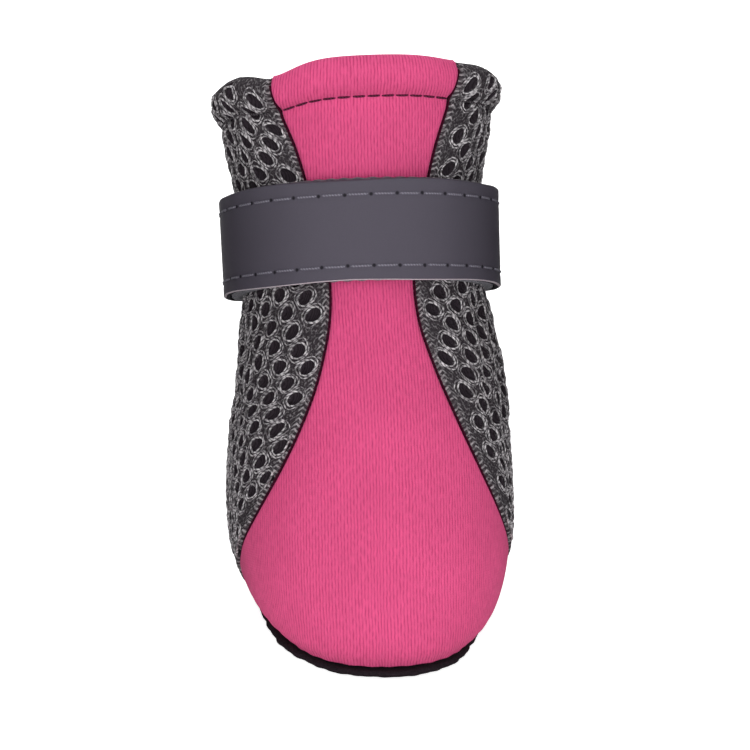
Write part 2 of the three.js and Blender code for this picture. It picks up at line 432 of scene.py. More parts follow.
def scaleVector(tree, vector, scale):
    node = tree.nodes.new("ShaderNodeVectorMath")
    node.operation = "SCALE"
    tree.links.new(vector, node.inputs[0])
    tree.links.new(scale, node.inputs["Scale"])
    return node.outputs[0]


def newMaterial(name, roughness, sheen=0.0, specular=0.35):
    material = bpy.data.materials.new(name)
    material.use_nodes = True
    shader = material.node_tree.nodes["Principled BSDF"]
    shader.inputs["Roughness"].default_value = roughness
    shader.inputs["Sheen Weight"].default_value = sheen
    shader.inputs["Sheen Roughness"].default_value = 0.5
    shader.inputs["Specular IOR Level"].default_value = specular
    return material, material.node_tree, shader.inputs


def addBump(tree, sockets, height, depth):
    node = tree.nodes.new("ShaderNodeBump")
    node.inputs["Distance"].default_value = depth * mm
    node.inputs["Strength"].default_value = 1.0
    tree.links.new(height, node.inputs["Height"])
    tree.links.new(node.outputs["Normal"], sockets["Normal"])


# rib knit: rows of small V loops, wales along the flat map's second axis
def ribKnitGroup():
    group, given, out = newGroup(
        "rib knit",
        [
            ("Flat", "NodeSocketVector", None),
            ("Wale", "NodeSocketFloat", 0.7),
            ("Course", "NodeSocketFloat", 0.5),
        ],
        [("Height", "NodeSocketFloat"), ("Groove", "NodeSocketFloat")],
    )
    across, along = splitFlat(group, given["Flat"])
    wobble = calc(group, "MULTIPLY", calc(group, "SUBTRACT", noise(group, given["Flat"], 0.6), 0.5), 0.35)
    wale = calc(group, "DIVIDE", calc(group, "ADD", across, wobble), given["Wale"])
    beside = calc(group, "SUBTRACT", calc(group, "FRACT", wale), 0.5)
    fold = calc(group, "MULTIPLY", calc(group, "ABSOLUTE", beside), 2)
    slant = calc(group, "MULTIPLY", fold, 0.6)
    course = calc(group, "ADD", calc(group, "DIVIDE", along, given["Course"]), slant)
    loops = calc(group, "SINE", calc(group, "MULTIPLY", course, 2 * math.pi))
    groove = calc(group, "POWER", fold, 2.5)
    crown = calc(group, "SUBTRACT", 1, groove)
    height = calc(group, "MULTIPLY", crown, calc(group, "ADD", 0.8, calc(group, "MULTIPLY", loops, 0.2)))
    group.links.new(height, out["Height"])
    group.links.new(groove, out["Groove"])
    return group


# heather: streaky colour change along the knit
def heatherGroup():
    group, given, out = newGroup(
        "heather",
        [
            ("Flat", "NodeSocketVector", None),
            ("Base", "NodeSocketColor", (0.5, 0.5, 0.5, 1)),
            ("Amount", "NodeSocketFloat", 0.1),
            ("Streak", "NodeSocketFloat", 1.0),
        ],
        [("Color", "NodeSocketColor")],
    )
    fine = noise(group, stretched(group, given["Flat"], (2.2, 0.7, 1)), 1.0, 3.0, 0.6)
    broad = noise(group, given["Flat"], 0.09, 2.0)
    streaks = calc(group, "MULTIPLY", fine, given["Streak"])
    mixed = calc(group, "ADD", streaks, calc(group, "MULTIPLY", broad, 0.6))
    middle = calc(group, "ADD", calc(group, "MULTIPLY", given["Streak"], 0.5), 0.3)
    swing = calc(group, "MULTIPLY", given["Amount"], 2)
    gain = calc(group, "ADD", 1, calc(group, "MULTIPLY", calc(group, "SUBTRACT", mixed, middle), swing))
    group.links.new(scaleVector(group, given["Base"], gain), out["Color"])
    return group


# fibre fuzz: short crossing fibres for felt, pile and cut edges
def fibreFuzzGroup():
    group, given, out = newGroup(
        "fibre fuzz",
        [("Vector", "NodeSocketVector", None), ("Size", "NodeSocketFloat", 1.0)],
        [("Height", "NodeSocketFloat")],
    )
    scaled = scaleVector(group, given["Vector"], calc(group, "DIVIDE", 1.0, given["Size"]))
    one = noise(group, stretched(group, scaled, (4, 1, 1)), 1.0, 4.0, 0.65)
    two = noise(group, stretched(group, scaled, (1, 4, 1)), 1.0, 4.0, 0.65)
    group.links.new(calc(group, "MAXIMUM", one, two), out["Height"])
    return group


# yarn twist: slanting plies along a thread's own flat map, in mm along and turns round
def yarnTwistGroup():
    group, given, out = newGroup(
        "yarn twist",
        [("Flat", "NodeSocketVector", None), ("Pitch", "NodeSocketFloat", 0.6)],
        [("Height", "NodeSocketFloat")],
    )
    along, around = splitFlat(group, given["Flat"])
    phase = calc(group, "ADD", calc(group, "DIVIDE", along, given["Pitch"]), around)
    wave = calc(group, "SINE", calc(group, "MULTIPLY", phase, 2 * math.pi))
    group.links.new(calc(group, "ADD", 0.5, calc(group, "MULTIPLY", wave, 0.5)), out["Height"])
    return group


ribKnit = ribKnitGroup()
heather = heatherGroup()
fibreFuzz = fibreFuzzGroup()
yarnTwist = yarnTwistGroup()


# the spacer mesh: a lattice of oval holes, each ringed by a loop of pale yarn
net = {
    "pitchAcross": 5.7,
    "pitchUp": 5.9,
    "holeAcross": 1.38,
    "holeUp": 1.36,
    "depth": 0.95,
    "ringApart": 0.12,
    "ringYarn": 0.16,
    "webApart": 0.6,
    "webYarn": 0.14,
    "webCorner": 0.07,
    "strandOut": 0.04,
    "fromSeam": 1.4,
    "fromSole": 1.0,
    "fromTop": 0.9,
    "turnBack": 0.45,
    "plaitWidth": 1.2,
    "plaitPitch": 0.95,
    "strandSteps": 20,
    "strandSides": 5,
    "columns": 128,
    "rows": 172,
    "hemRows": 34,
    "innerRows": 40,
    "latticeAcross": 24,
    "latticeUp": 16,
}
loose = {"swell": 0.04, "lean": 0.05, "leanSpread": 0.08, "wobble": 0.04, "weave": 0.13, "thick": 0.18}


# materials
def pinkJersey():
    material, tree, sockets = newMaterial("pink jersey", 0.85, sheen=0.12, specular=0.12)
    sockets["Sheen Tint"].default_value = tone(245, 150, 195)
    flat = flatMap(tree)
    knit = place(tree, ribKnit, Flat=flat, Wale=0.56, Course=0.44)
    coloured = place(tree, heather, Flat=flat, Base=tone(218, 83, 132), Amount=0.2, Streak=1.0)
    dashes = ramp(tree, noise(tree, stretched(tree, flat, (3.0, 0.7, 1)), 1.0, 1.0), 0.34, 0.64, 0.25, 0.8)
    # painted shade: the rib grooves darken towards a deep pink, broken into dashes
    grooveShade = calc(tree, "MULTIPLY", knit["Groove"], dashes)
    colour = blendColour(tree, grooveShade, coloured["Color"], tone(162, 36, 86))
    tree.links.new(colour, sockets["Base Color"])
    tree.links.new(ramp(tree, knit["Height"], 0, 1, 0.92, 0.78), sockets["Roughness"])
    addBump(tree, sockets, knit["Height"], 0.10)
    return material


def spacerMesh():
    material, tree, sockets = newMaterial("spacer mesh", 0.85, specular=0.1)
    flat = flatMap(tree)
    hole = pointValue(tree, "hole")
    edge = pointValue(tree, "edge")
    # the pale flecks are partly light filaments in the yarn and partly painted glints
    flecksAndGlints = ramp(tree, noise(tree, stretched(tree, flat, (1.0, 0.75, 1)), 2.7, 2.0), 0.47, 0.62)
    slant = calc(tree, "ABSOLUTE", calc(tree, "SUBTRACT", edge, net["plaitWidth"] / 2))
    slanted = calc(tree, "ADD", splitFlat(tree, flat)[1], slant)
    phase = calc(tree, "MULTIPLY", slanted, 2 * math.pi / net["plaitPitch"])
    plait = ramp(tree, calc(tree, "SINE", phase), -0.1, 0.8)
    border = ramp(tree, edge, net["plaitWidth"] * 0.8, net["plaitWidth"] * 1.15, 1.0, 0.0)
    uneven = ramp(tree, noise(tree, flat, 1.4, 3.0), 0.36, 0.6, 0.1, 1.0)
    pale = calc(tree, "ADD", calc(tree, "MULTIPLY", flecksAndGlints, 0.45), calc(tree, "MULTIPLY", plait, border))
    pale = calc(tree, "MULTIPLY", calc(tree, "MINIMUM", pale, 1.0), uneven)
    ground = place(tree, heather, Flat=flat, Base=tone(50, 45, 49), Amount=0.35, Streak=1.0)
    lit = blendColour(tree, pale, ground["Color"], tone(164, 159, 162))
    weft = place(tree, ribKnit, Flat=flat, Wale=0.45, Course=0.4)
    # painted shade: the grooves of the knit at the bottom of the holes darken
    deep = blendColour(tree, weft["Groove"], tone(50, 43, 49), tone(27, 22, 26))
    colour = blendColour(tree, ramp(tree, hole, 0.04, 0.4), lit, deep)
    tree.links.new(colour, sockets["Base Color"])
    addBump(tree, sockets, pale, 0.25)
    return material


def paleYarn(name, low, high):
    material, tree, sockets = newMaterial(name, 0.6, specular=0.2)
    flat = flatMap(tree)
    twist = place(tree, yarnTwist, Flat=flat, Pitch=1.0)
    patch = ramp(tree, noise(tree, objectSpot(tree), 900, 2.0), 0.34, 0.62)
    base = blendColour(tree, patch, tone(low, low - 5, low - 1), tone(high, high - 5, high - 2))
    # painted shade: the valleys between the twisted plies darken towards a deep grey
    colour = blendColour(tree, ramp(tree, twist["Height"], 0.05, 0.55, 0.75, 0.0), base, tone(44, 39, 43))
    tree.links.new(colour, sockets["Base Color"])
    addBump(tree, sockets, twist["Height"], 0.09)
    return material


def knitLining():
    material, tree, sockets = newMaterial("knit lining", 0.9, sheen=0.15)
    flat = flatMap(tree)
    knit = place(tree, ribKnit, Flat=flat, Wale=0.9, Course=0.7)
    coloured = place(tree, heather, Flat=flat, Base=tone(66, 61, 66), Amount=0.25, Streak=0.8)
    # painted shade: the rib grooves darken
    grooveShade = calc(tree, "MULTIPLY", knit["Groove"], 0.5)
    tree.links.new(blendColour(tree, grooveShade, coloured["Color"], tone(34, 30, 34)), sockets["Base Color"])
    addBump(tree, sockets, knit["Height"], 0.14)
    return material


def strapTape(needlePitch, needleRow):
    material, tree, sockets = newMaterial("strap tape", 0.6, specular=0.08)
    flat = flatMap(tree)
    along, across = splitFlat(tree, flat)
    fromRow = calc(tree, "SUBTRACT", calc(tree, "ABSOLUTE", across), needleRow)
    cycle = calc(tree, "FRACT", calc(tree, "ADD", calc(tree, "DIVIDE", along, needlePitch), 0.5))
    fromHole = calc(tree, "MULTIPLY", calc(tree, "SUBTRACT", cycle, 0.5), needlePitch)
    squares = calc(tree, "ADD", calc(tree, "POWER", fromRow, 2), calc(tree, "POWER", fromHole, 2))
    needle = ramp(tree, calc(tree, "SQRT", squares), 0.16, 0.42, 1.0, 0.0)
    grain = noise(tree, flat, 5.0, 3.0, 0.7)
    cloudy = place(tree, heather, Flat=flat, Base=tone(78, 74, 84), Amount=0.06, Streak=0.5)
    worn = blendColour(tree, ramp(tree, grain, 0.3, 0.75, 0, 0.22), cloudy["Color"], tone(94, 90, 100))
    # painted shade: the needle holes are darkened
    pierced = blendColour(tree, needle, worn, tone(34, 32, 38))
    tree.links.new(pierced, sockets["Base Color"])
    tree.links.new(ramp(tree, grain, 0.25, 0.75, 0.5, 0.66), sockets["Roughness"])
    height = calc(tree, "SUBTRACT", calc(tree, "MULTIPLY", grain, 0.12), needle)
    addBump(tree, sockets, height, 0.12)
    return material


def fuzzy(name, colour, dark, size, depth, sheen=0.0):
    material, tree, sockets = newMaterial(name, 0.95, sheen=sheen, specular=0.1)
    fibres = place(tree, fibreFuzz, Vector=objectSpot(tree), Size=size * mm)
    # painted shade: the low gaps between the fibres take the dark colour, the fibres their own colour
    mixed = blendColour(tree, ramp(tree, fibres["Height"], 0.35, 0.7), dark, colour)
    tree.links.new(mixed, sockets["Base Color"])
    addBump(tree, sockets, fibres["Height"], depth)
    return material


def thread(name, colour, dark):
    material, tree, sockets = newMaterial(name, 0.6, specular=0.15)
    twist = place(tree, yarnTwist, Flat=flatMap(tree), Pitch=0.5)
    # painted shade: the valleys between the plies take the dark colour
    mixed = blendColour(tree, twist["Height"], dark, colour)
    tree.links.new(mixed, sockets["Base Color"])
    addBump(tree, sockets, twist["Height"], 0.06)
    return material


def gripRubber():
    material, tree, sockets = newMaterial("grip rubber", 0.55, specular=0.45)
    grain = noise(tree, objectSpot(tree), 2600, 3.0, 0.6)
    tree.links.new(blendColour(tree, grain, tone(24, 21, 24), tone(46, 42, 46)), sockets["Base Color"])
    tree.links.new(ramp(tree, grain, 0.3, 0.7, 0.45, 0.7), sockets["Roughness"])
    addBump(tree, sockets, grain, 0.05)
    return material


# the collar's turned hem: how far the outside stands out at each ring position, in mm
hem = {
    "rings": [12.0, 12.1, 12.24, 12.4, 12.55, 12.75, 12.9, 13.0],
    "out": [0.0, -0.15, -0.55, 0.35, 0.85, 0.95, 0.7, 0.2],
    "stitchRing": 12.24,
    "insideStitchRing": 12.42,
    "stitchFromSeam": 1.4,
    "greyFromSeam": 6,
    "turnIn": 12.3,
    "crown": 0.75,
    "panelShare": 0.85,
}
hemStart = hem["rings"][0]


def hemOut(position):
    fine = np.linspace(hemStart, hem["rings"][-1], 120)
    raw = np.interp(fine, hem["rings"], hem["out"])
    kernel = np.hanning(15) / np.hanning(15).sum()
    smooth = np.convolve(np.pad(raw, 7, mode="edge"), kernel, mode="valid")
    return np.where(position < hemStart, 0, np.interp(position, fine, smooth))


wall = {
    "mesh": 2.8,
    "lining": 1.0,
    "turnIn": 3.3,
    "edgeGap": 0.08,
    "edgeColumns": [0.0, 0.05, 0.15, 0.32, 0.56],
    "edgeEnd": 1.1,
    "edgeRadius": 0.6,
    "edgeRoll": 1.5,
    "liningColumns": 14,
    "rimShares": [0.15, 0.35, 0.55, 0.75, 0.9],
    "rimStep": 0.7,
}


def netWarp(across, rise):  # the knit is never quite even
    shiftAcross = 0.35 * np.sin(0.31 * rise + 0.9) + 0.25 * np.sin(0.17 * across - 0.21 * rise)
    shiftUp = 0.3 * np.sin(0.23 * across + 1.7) + 0.22 * np.sin(0.29 * rise + 0.13 * across)
    return across + shiftAcross, rise + shiftUp


def netUnwarp(latticeAcross, latticeUp):
    across, rise = latticeAcross.copy(), latticeUp.copy()
    for _ in range(8):
        warpedAcross, warpedUp = netWarp(across, rise)
        across, rise = across + latticeAcross - warpedAcross, rise + latticeUp - warpedUp
    return across, rise


def seamEdge(position, half):  # mm from the mesh's cut edge at the panel seam
    seamArc = lookUp(arcTable, position, seamTurn(position))
    return lookUp(arcTable, position, half) - seamArc - wall["edgeGap"]


def findHoles():
    acrossRange = np.arange(-net["latticeAcross"], net["latticeAcross"] + 1)
    upRange = np.arange(-net["latticeUp"], net["latticeUp"] + 1)
    i, j = np.meshgrid(acrossRange, upRange, indexing="ij")
    centres = []
    for shift in (0.0, 0.5):
        a = (i + shift) * net["pitchAcross"]
        b = (j + shift) * net["pitchUp"]
        across, rise = netUnwarp(a.ravel(), b.ravel())
        position, turn = backSpot(across, rise)
        half = np.where(turn <= math.pi, turn, 2 * math.pi - turn)
        backAcross, backRise = backFlat(position, turn)
        found = np.hypot(backAcross - across, backRise - rise) < 0.2
        inside = (position > 0.0) & (position < collarRing) & found
        fromSeam = seamEdge(position, half)
        height = lookUp(riseTable, position, half)
        fromSole = height - lookUp(riseTable, np.zeros_like(position), half)
        fromTop = lookUp(riseTable, np.full_like(position, collarRing), half) - height
        keep = inside & (fromSeam > net["fromSeam"])
        keep = keep & (fromSole > net["fromSole"]) & (fromTop > net["fromTop"])
        centres.append((a.ravel()[keep], b.ravel()[keep], keep.reshape(i.shape)))
    return centres


holes = findHoles()
holeCount = sum(len(a) for a, _, _ in holes)
print("mesh holes:", holeCount)


def holeMask(latticeAcross, latticeUp):  # 1 in a hole, 0 on the bars
    nearest = np.full(latticeAcross.shape, 9.0)
    for shift, (_, _, kept) in zip((0.0, 0.5), holes):
        i = np.rint(latticeAcross / net["pitchAcross"] - shift).astype(int)
        j = np.rint(latticeUp / net["pitchUp"] - shift).astype(int)
        da = (latticeAcross - (i + shift) * net["pitchAcross"]) / net["holeAcross"]
        db = (latticeUp - (j + shift) * net["pitchUp"]) / net["holeUp"]
        i = np.clip(i + net["latticeAcross"], 0, kept.shape[0] - 1)
        j = np.clip(j + net["latticeUp"], 0, kept.shape[1] - 1)
        nearest = np.where(kept[i, j], np.minimum(nearest, np.hypot(da, db)), nearest)
    return 1 - smoothStep(nearest, 0.68, 1.06)


def upperColumns(position):  # turns across the lining, then round the mesh with a rounded cut edge
    seam = float(seamTurn(position))
    front = np.linspace(-seam, seam, wall["liningColumns"])
    arcs = lookUp(arcTable, np.full(2, float(position)), np.array([seam, math.pi]))
    edge = arcs[0] + wall["edgeGap"]
    nearEdge = edge + np.array(wall["edgeColumns"])
    side = np.concatenate([nearEdge, np.linspace(edge + wall["edgeEnd"], arcs[1], net["columns"])])
    turns = turnAtArc(position, side)
    fromEdge = side - edge
    backTurns = 2 * math.pi - turns[-2::-1]
    return (
        np.concatenate([front, turns, backTurns]),
        np.concatenate([np.full(len(front), -1.0), fromEdge, fromEdge[-2::-1]]),
    )


def buildUpper():
    lowRows = np.linspace(0, hemStart, net["rows"])
    positions = np.concatenate([lowRows, np.linspace(hemStart, collarRing, net["hemRows"])[1:]])
    columns = [upperColumns(p) for p in positions]
    turn = np.array([c[0] for c in columns])
    fromEdge = np.array([c[1] for c in columns])
    position = np.broadcast_to(positions[:, None], turn.shape)
    lining = fromEdge < 0
    across, rise = backFlat(position, turn % (2 * math.pi))
    flat = np.stack(netWarp(across, rise), -1)
    hole = np.where(lining, 0, holeMask(flat[..., 0], flat[..., 1]))
    roll = 1 - np.sqrt(1 - np.clip(1 - fromEdge / wall["edgeRadius"], 0, 1) ** 2)
    meshOut = hemOut(position) - wall["edgeRoll"] * roll - net["depth"] * hole
    out = np.where(lining, wall["lining"] - wall["mesh"], meshOut)
    outer = skin(position, turn, out)
    # over the top edge and down inside
    top = position[-1]
    rim = []
    for share in wall["rimShares"]:
        inside = np.where(lining[-1], -wall["mesh"], -wall["turnIn"])
        rimOut = out[-1] * (1 - share) + inside * share
        crown = np.where(lining[-1], 0.0, hem["crown"] * math.sin(math.pi * share))
        rim.append(skin(top, turn[-1], rimOut) + lastRun(top, turn[-1]) * crown[:, None])
    turnIn = hem["turnIn"]
    foldRows = [turnIn, turnIn + 0.06, turnIn + 0.3, turnIn + 0.55, collarRing]
    innerRows = np.concatenate([np.linspace(0, turnIn - 0.15, net["innerRows"]), foldRows])
    innerColumns = [upperColumns(p) for p in innerRows]
    innerTurn = np.array([c[0] for c in innerColumns])
    innerLining = np.array([c[1] for c in innerColumns]) < 0
    innerPosition = np.broadcast_to(innerRows[:, None], innerTurn.shape)
    folded = ~innerLining & (innerPosition > turnIn + 0.03)
    inner = skin(innerPosition, innerTurn, -np.where(folded, wall["turnIn"], wall["mesh"]))
    innerFlat = np.stack(netWarp(*backFlat(innerPosition, innerTurn % (2 * math.pi))), -1)
    outer = np.concatenate([outer, np.array(rim)])
    rimFlat = [flat[-1] + np.array([0, wall["rimStep"] * (k + 1)]) for k in range(len(rim))]
    flat = np.concatenate([flat, rimFlat, innerFlat[::-1]])
    hole = np.concatenate([hole, np.zeros((len(rim) + len(innerRows), turn.shape[1]))])
    edge = np.concatenate([fromEdge, np.repeat(fromEdge[-1:], len(rim) + len(innerRows), 0)])
    picks = np.repeat([0, 1], [len(outer), len(inner)])
    values = {"hole": hole, "edge": edge}
    return shell("meshUpper", outer, inner, True, flat, values, (spacerMesh(), knitLining()), picks)


def anyPhase(count):
    return rng.uniform(0, 6.3, (count, 1))


def buildLoops(name, apart, yarn, corner, material):  # one loop of yarn round each hole
    steps = net["strandSteps"]
    angle = evenTurns(steps)
    a = np.concatenate([h[0] for h in holes])[:, None]
    b = np.concatenate([h[1] for h in holes])[:, None]
    count = len(a)
    swell = 1 + rng.normal(0, loose["swell"], (count, 1))
    lean = rng.normal(loose["lean"], loose["leanSpread"], (count, 1))
    radiusAcross = (net["holeAcross"] + apart) * swell
    radiusUp = (net["holeUp"] + apart) * (2 - swell)
    wobble = 1 + loose["wobble"] * np.sin(3 * angle + anyPhase(count)) + corner * np.cos(4 * angle)
    la = a + radiusAcross * wobble * np.cos(angle) + lean * np.sin(angle)
    lb = b + radiusUp * wobble * np.sin(angle)
    across, rise = netUnwarp(la.ravel(), lb.ravel())
    position, turn = backSpot(across, rise)
    position = np.clip(position, 0.06, collarRing - 0.03)
    half = np.where(turn <= math.pi, turn, 2 * math.pi - turn)
    # the yarn turns back along the cut edge at the seam
    short = np.clip(net["turnBack"] - seamEdge(position, half), 0, None)
    half = half + short / arcSlope(position, half)
    turn = np.where(turn <= math.pi, half, 2 * math.pi - half)
    weave = loose["weave"] * np.sin(2 * angle + anyPhase(count)).ravel()
    out = net["strandOut"] + weave + hemOut(position)
    centres = skin(position, turn, out).reshape(count, steps, 3)
    normals = lastNormal(position, turn).reshape(count, steps, 3)
    thick = yarn * (1 + loose["thick"] * np.sin(2 * angle + anyPhase(count)))
    return tubes(name, centres, normals, thick, net["strandSides"], True, material)


def buildRings():
    yarn = paleYarn("ring yarn", 128, 222)
    return buildLoops("meshRings", net["ringApart"], net["ringYarn"], 0.0, yarn)


def buildWeb():
    yarn = paleYarn("web yarn", 112, 206)
    return buildLoops("meshWeb", net["webApart"], net["webYarn"], net["webCorner"], yarn)


# the pink front panel: rolled edges at the seams, turned over at the collar and down inside
panel = {
    "edgeTurn": 0.25,
    "drop": 0.4,
    "under": 1.5,
    "edgeRoll": 0.85,
    "edgeRadius": 1.1,
    "columns": 96,
    "rows": 192,
    "hemRows": 48,
    "toePucker": 0.10,
    "toeTuck": 0.45,
    "gather": 0.06,
    "gatherPitch": 2.9,
    "rimRise": 0.25,
    "backGap": 0.06,
}


def panelTurns(position):
    half = float(seamTurn(position)) - math.radians(panel["edgeTurn"])
    reach = float(lookUp(arcTable, np.array([float(position)]), np.array([half]))[0])
    edge = panel["edgeRadius"] * (1 - np.cos(np.linspace(0, math.pi / 2, 9)))
    flatPart = np.linspace(0, reach - panel["edgeRadius"], panel["columns"] // 2)
    right = np.concatenate([flatPart, reach - edge[::-1][1:]])
    turns = turnAtArc(position, right)
    return np.concatenate([-turns[:0:-1], turns]), np.concatenate([-right[:0:-1], right]), reach


def buildPanel():
    lowRows = np.linspace(0, hemStart, panel["rows"])
    positions = np.concatenate([lowRows, np.linspace(hemStart, collarRing, panel["hemRows"])[1:]])
    columns = [panelTurns(p) for p in positions]
    turn = np.array([c[0] for c in columns])
    arc = np.array([c[1] for c in columns])
    reach = np.array([c[2] for c in columns])[:, None]
    position = np.broadcast_to(positions[:, None], turn.shape)
    fromEdge = reach - np.abs(arc)
    roll = 1 - np.sqrt(1 - np.clip(1 - fromEdge / panel["edgeRadius"], 0, 1) ** 2)
    nearToe = smoothStep(-position, -1.3, -0.1)
    nearStitch = np.exp(-(((position - hem["stitchRing"]) / 0.16) ** 2))
    pucker = panel["toePucker"] * np.sin(arc * 1.7 + 0.6 * np.sin(arc * 0.4)) * nearToe
    tuck = panel["toeTuck"] * smoothStep(-position, -0.55, 0)
    gather = panel["gather"] * np.cos(arc * 2 * math.pi / panel["gatherPitch"]) * nearStitch
    face = hemOut(position) * hem["panelShare"] - panel["drop"]
    out = face - panel["edgeRoll"] * roll + pucker - tuck + gather
    outer = skin(position, turn, out)
    flat = np.stack([arc, lookUp(riseTable, position, np.abs(turn))], -1)
    # over the top, down inside to the turned edge, back up and down behind the panel
    top, topTurn = position[-1], turn[-1]
    over, overFlat = [], []
    rise = 0.0
    for share in np.linspace(0.08, 1, 10):
        rimOut = out[-1] * (1 - share) - wall["turnIn"] * share
        bow = hem["crown"] * math.sin(math.pi * min(share, 0.985))
        crown = (panel["rimRise"] + bow) * min(1, share * 6)
        over.append(skin(top, topTurn, rimOut) + lastRun(top, topTurn) * crown)
        rise += 0.3
        overFlat.append(flat[-1] + np.array([0, rise]))
    for ringPosition in np.linspace(12.95, hem["turnIn"], 10):
        turns = panelTurns(ringPosition)[0]
        over.append(skin(np.full_like(turns, ringPosition), turns, -wall["turnIn"]))
        rise += 0.6
        overFlat.append(flat[-1] + np.array([0, rise]))
    back = []
    inside = -wall["mesh"] - panel["backGap"]
    for ringPosition in np.linspace(hem["turnIn"], 12.98, 6):
        turns = panelTurns(ringPosition)[0]
        back.append(skin(np.full_like(turns, ringPosition), turns, inside))
    for backOut in (inside, -panel["under"]):
        back.append(skin(top, topTurn, backOut) + lastRun(top, topTurn) * 0.2)
    behind = skin(position, turn, -panel["under"])[::-1]
    face = np.concatenate([outer, np.array(over)])
    rear = np.concatenate([np.array(back), behind])
    # even out both halves so the ends close with quads
    rearRows = np.linspace(0, len(rear) - 1, len(face))
    low = np.floor(rearRows).astype(int)
    high = np.minimum(low + 1, len(rear) - 1)
    share = (rearRows - low)[:, None, None]
    rear = rear[low] * (1 - share) + rear[high] * share
    faceFlat = np.concatenate([flat, np.array(overFlat)])
    rearFlat = np.repeat(flat[-1:], len(rear), 0)
    flat = np.concatenate([faceFlat, rearFlat])
    return shell("frontPanel", face, rear[::-1], False, flat, materials=(pinkJersey(),))


# stitches: short lengths of thread, ends sunk in the cloth
stitch = {"length": 2.0, "gap": 0.35, "radius": 0.19, "steps": 11, "sides": 6}


def stitchRow(line, length=stitch["length"], gap=stitch["gap"], lift=0.16):
    # line gives points and normals for a share array; returns centres and normals of each stitch
    probe = np.linspace(0, 1, 400)
    points, _ = line(probe)
    run = np.pad(np.cumsum(np.linalg.norm(np.diff(points, axis=0), axis=-1)), (1, 0))
    count = max(1, int(run[-1] // (length + gap)))
    pitch = run[-1] / count
    starts = np.arange(count) * pitch + gap / 2 + rng.normal(0, 0.05, count)
    inStitch = np.linspace(0, 1, stitch["steps"])
    spans = starts[:, None] + inStitch[None] * (pitch - gap)
    places, normals = line(np.interp(spans.ravel(), run, probe))
    arch = np.sin(math.pi * inStitch) ** 0.4
    sink = lift * arch - 0.2 * (1 - arch)
    centres = places.reshape(count, -1, 3) + normals.reshape(count, -1, 3) * sink[None, :, None]
    return centres, normals.reshape(count, -1, 3)


def stitchPiece(name, rows, material):
    centres = np.concatenate([r[0] for r in rows])
    normals = np.concatenate([r[1] for r in rows])
    return tubes(name, centres, normals, stitch["radius"], stitch["sides"], False, material)


def hemLine(fromTurn, toTurn, out, facing=1):
    def line(share):
        turn = fromTurn + (toTurn - fromTurn) * share
        position = np.full_like(turn, hem["stitchRing"] if facing > 0 else hem["insideStitchRing"])
        return skin(position, turn, np.full_like(turn, out)), facing * lastNormal(position, turn)
    return line


def buildHemStitches():
    half = float(seamTurn(hem["stitchRing"])) - math.radians(hem["stitchFromSeam"])
    ringOut = float(hemOut(np.array(hem["stitchRing"])))
    panelOut = ringOut * hem["panelShare"] - panel["drop"]
    inOut = -wall["turnIn"]
    rows = [stitchRow(hemLine(-half, half, panelOut)), stitchRow(hemLine(half, -half, inOut, -1))]
    plum = stitchPiece("hemStitches", rows, thread("plum thread", tone(92, 26, 56), tone(44, 9, 26)))
    begin = half + math.radians(hem["greyFromSeam"])
    end = 2 * math.pi - begin
    rows = [stitchRow(hemLine(begin, end, ringOut + 0.1)), stitchRow(hemLine(end, begin, inOut, -1))]
    grey = stitchPiece("collarStitches", rows, thread("grey thread", tone(86, 80, 85), tone(38, 34, 37)))
    return plum, grey


# the folded edge between panel and mesh, coloured dark plum as painted shade in the seam's groove
bead = {
    "from": 0.04,
    "to": 12.98,
    "steps": 260,
    "turn": 0.25,
    "sunk": 0.82,
    "hemShare": 0.6,
    "radius": 0.22,
    "sides": 10,
}


def buildSeamBead():
    positions = np.linspace(bead["from"], bead["to"], bead["steps"])
    centres, normals = [], []
    for side in (-1, 1):
        turn = side * (seamTurn(positions) + math.radians(bead["turn"]))
        centres.append(skin(positions, turn, -bead["sunk"] + bead["hemShare"] * hemOut(positions)))
        normals.append(lastNormal(positions, turn))
    # painted shade: the bead is dark plum where the pink edge lies in shadow in the groove
    material = fuzzy("seam fold painted shade", tone(62, 9, 34), tone(38, 6, 22), 0.4, 0.05)
    return tubes("seamBead", centres, normals, bead["radius"], bead["sides"], False, material)


# the strap: loop tape round the ankle under a face of reflective tape
strap = {
    "ring": 9.4,
    "lift": 1.35,
    "width": 17,
    "backing": 1.5,
    "pileDepth": 1.1,
    "overhang": 0.35,
    "gap": 0.3,
    "face": 1.1,
    "freeEnd": -118,
    "sewnEnd": 150,
    "stitchInset": 2.5,
    "raiseLeft": 0.8,
    "stitchLength": 3.4,
    "stitchGap": 0.9,
    "stitchFromEnd": 1.5,
    "edgeRadius": 0.4,
    "columns": 220,
    "rows": 44,
    "pileColumns": 320,
    "nap": 0.16,
    "fray": 0.1,
}
faceBase = strap["backing"] + strap["gap"]
faceTop = faceBase + strap["face"]
needleRow = strap["width"] / 2 - strap["stitchInset"]


def strapPoint(turn, across, out):
    turn, across, out = np.broadcast_arrays(*(np.asarray(v, float) for v in (turn, across, out)))
    ring = np.full(turn.shape, float(strap["ring"]))
    run = unit(lastPoint(ring + 1, turn) - lastPoint(ring - 1, turn))
    base = lastPoint(ring, turn) + lastNormal(ring, turn) * (strap["lift"] + out)[..., None]
    raised = across + strap["raiseLeft"] * (1 - np.sin(turn)) / 2
    return base + run * raised[..., None]


def strapNormal(turn):
    return lastNormal(np.full(np.shape(turn), float(strap["ring"])), turn)


def strapArc(turns):
    points = strapPoint(turns, 0.0, faceTop)
    return np.pad(np.cumsum(np.linalg.norm(np.diff(points, axis=0), axis=-1)), (1, 0))


faceTurns = np.radians(np.linspace(strap["freeEnd"], strap["sewnEnd"], strap["columns"]))
faceArc = strapArc(faceTurns)
sewnLength = faceArc[-1] - 2 * strap["stitchFromEnd"]
needleCount = int(sewnLength // (strap["stitchLength"] + strap["stitchGap"]))
needlePitch = sewnLength / needleCount


